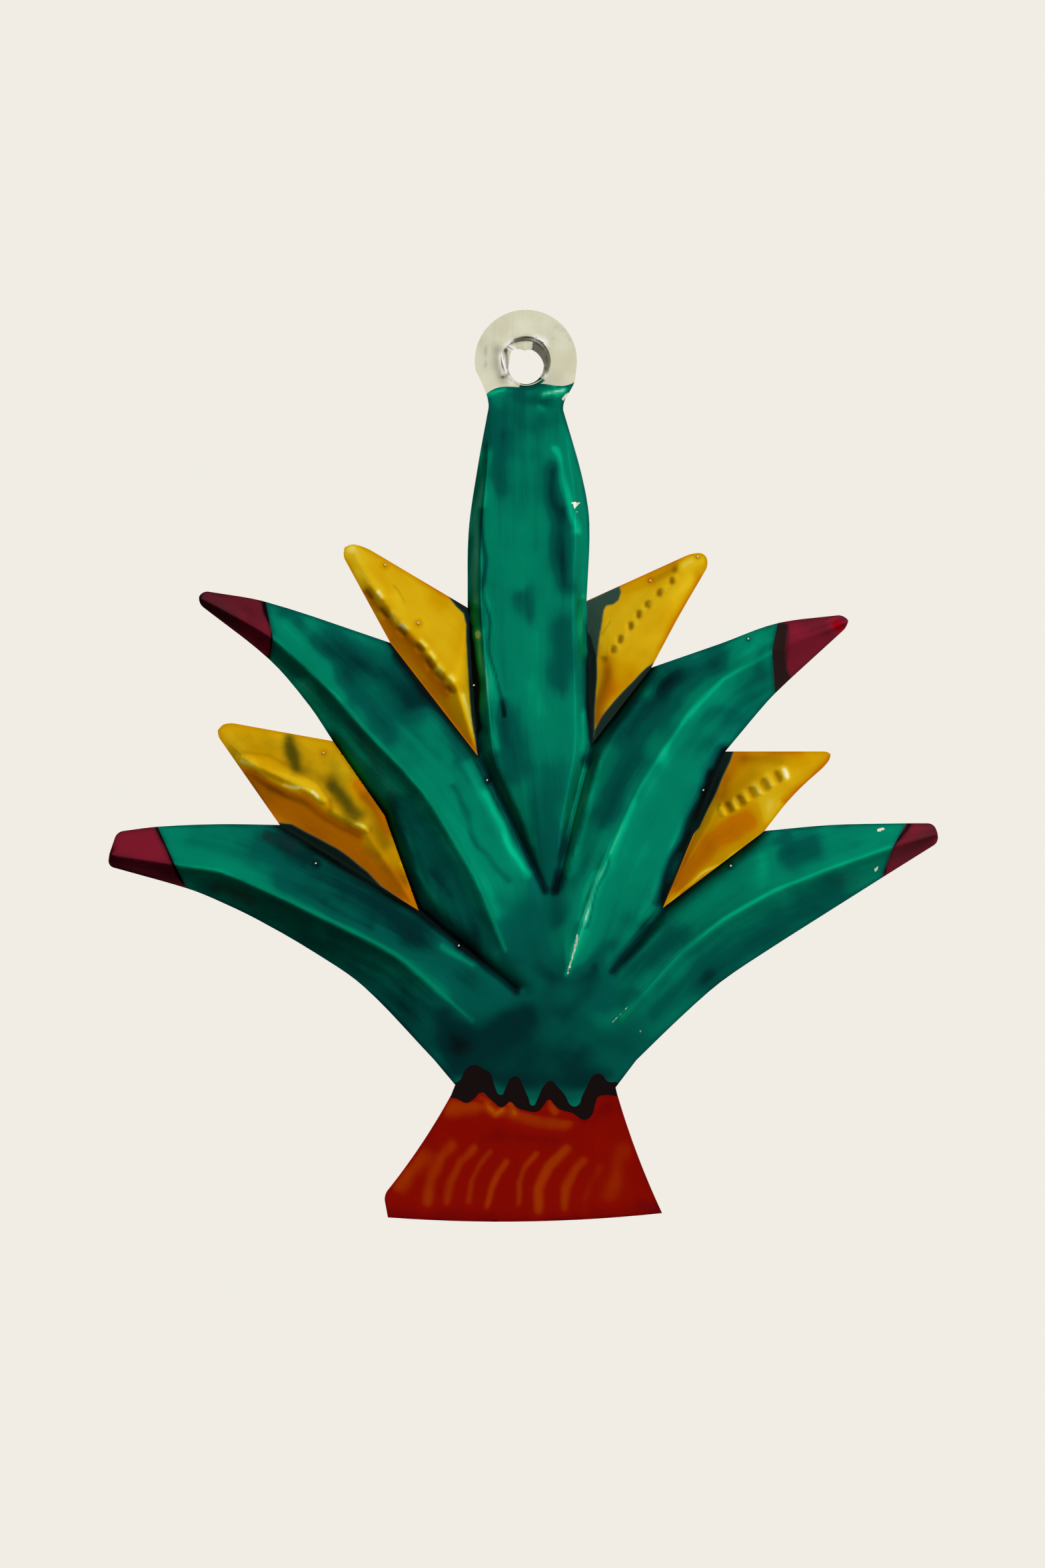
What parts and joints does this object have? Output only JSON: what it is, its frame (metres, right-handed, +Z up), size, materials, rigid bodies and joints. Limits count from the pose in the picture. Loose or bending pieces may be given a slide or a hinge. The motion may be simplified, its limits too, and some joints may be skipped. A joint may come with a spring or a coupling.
{
  "type": "tin ornament",
  "caption": "Flat embossed tin ornament shaped like an agave plant in a flared foot, lacquered on the front, with a punched hole to hang it by.",
  "frame": {"origin": "centre of the hanging hole, in the middle of its wall", "axes": "+Z up the hanging ornament, +X to the viewer's right, the lacquered front faces -Y"},
  "size_m": [0.1, 0.0038, 0.1097],
  "materials": {
    "bare_tin": "bright bare tinplate",
    "green_lacquer": "translucent gloss lacquer",
    "yellow_lacquer": "translucent gloss lacquer",
    "crimson_lacquer": "translucent gloss lacquer",
    "red_lacquer": "translucent gloss lacquer",
    "dark_lacquer": "overlapping lacquers"
  },
  "bodies": {
    "root": {"tin_sheet": "bare_tin", "green_lacquer": "green_lacquer", "yellow_leaf_lacquer_upper_left": "yellow_lacquer", "yellow_leaf_lacquer_upper_right": "yellow_lacquer", "yellow_leaf_lacquer_lower_left": "yellow_lacquer", "yellow_leaf_lacquer_lower_right": "yellow_lacquer", "crimson_tip_lacquer_upper_left": "crimson_lacquer", "crimson_tip_lacquer_upper_right": "crimson_lacquer", "crimson_tip_lacquer_lower_left": "crimson_lacquer", "crimson_tip_lacquer_lower_right": "crimson_lacquer", "dark_band_lacquer": "dark_lacquer", "red_foot_lacquer": "red_lacquer"}
  },
  "joints": []
}
